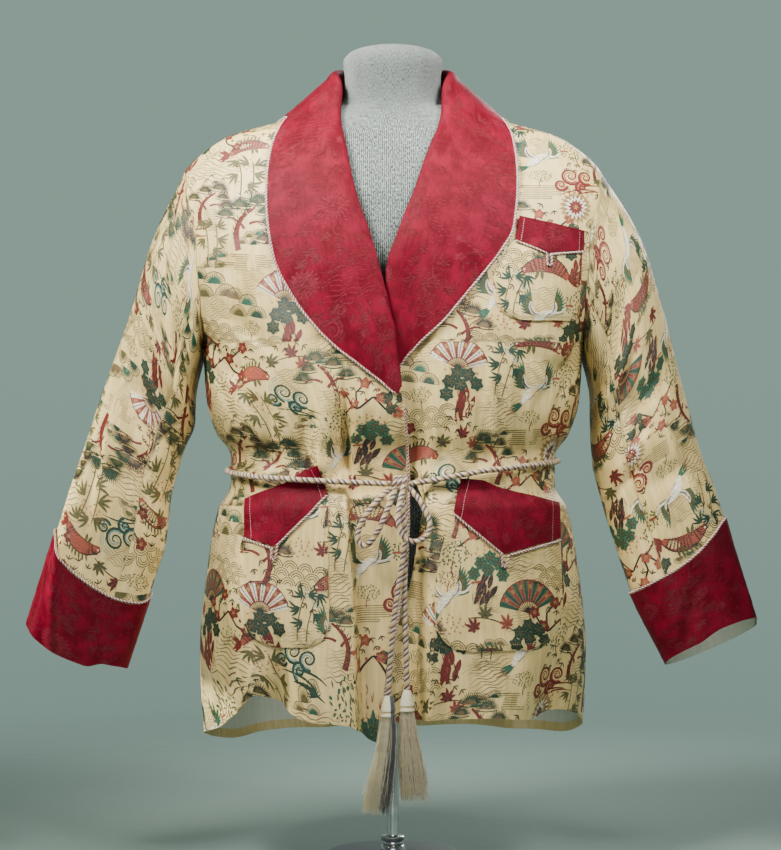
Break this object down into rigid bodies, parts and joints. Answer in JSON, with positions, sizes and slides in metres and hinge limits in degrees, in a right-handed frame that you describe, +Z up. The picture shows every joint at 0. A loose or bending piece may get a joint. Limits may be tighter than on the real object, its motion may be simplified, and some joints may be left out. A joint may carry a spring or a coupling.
{
  "type": "smoking jacket on dress form",
  "caption": "Shawl-collared brocade smoking jacket with patch pockets, turned-back cuffs and a tied cord belt, standing open-hemmed on a limbless dress form with a pole and round base.",
  "frame": {"origin": "centre of the stand base's underside", "axes": "+Z up along the pole, -Y the front of the jacket, +X the wearer's left"},
  "size_m": [0.9214, 0.3535, 1.034],
  "materials": {
    "brocade": "cream-gold satin with woven multicolour motifs",
    "damask": "dark red satin with tone-on-tone pattern",
    "piping": "twisted cream and burgundy cord",
    "belt_cord": "twisted cream and mauve-brown cord",
    "jersey": "heather grey jersey",
    "chrome": "polished",
    "slate_metal": "dark slate satin"
  },
  "bodies": {
    "root": {"back": "brocade", "front_right": "brocade", "front_left": "brocade", "sleeve_right_upper": "brocade", "sleeve_right_under": "brocade", "sleeve_left_upper": "brocade", "sleeve_left_under": "brocade", "pocket_lower_right": "brocade", "pocket_lower_left": "brocade", "pocket_chest": "brocade", "cuff_right": "damask", "cuff_left": "damask", "collar_right": "damask", "collar_left": "damask", "band_lower_right": "damask", "band_lower_left": "damask", "band_chest": "damask", "piping_collar_right": "piping", "piping_collar_left": "piping", "piping_cuff_right": "piping", "piping_cuff_left": "piping", "piping_front_edge": "piping", "piping_band_lower_right": "piping", "piping_band_lower_left": "piping", "piping_band_chest": "piping", "belt_waist": "belt_cord", "belt_bow_right": "belt_cord", "belt_bow_left": "belt_cord", "belt_end_right": "belt_cord", "belt_end_left": "belt_cord", "belt_knot": "belt_cord", "tassel_right": "belt_cord", "tassel_left": "belt_cord", "dress_form": "jersey", "pole": "chrome", "pole_fitting": "chrome", "base": "slate_metal"}
  },
  "joints": []
}
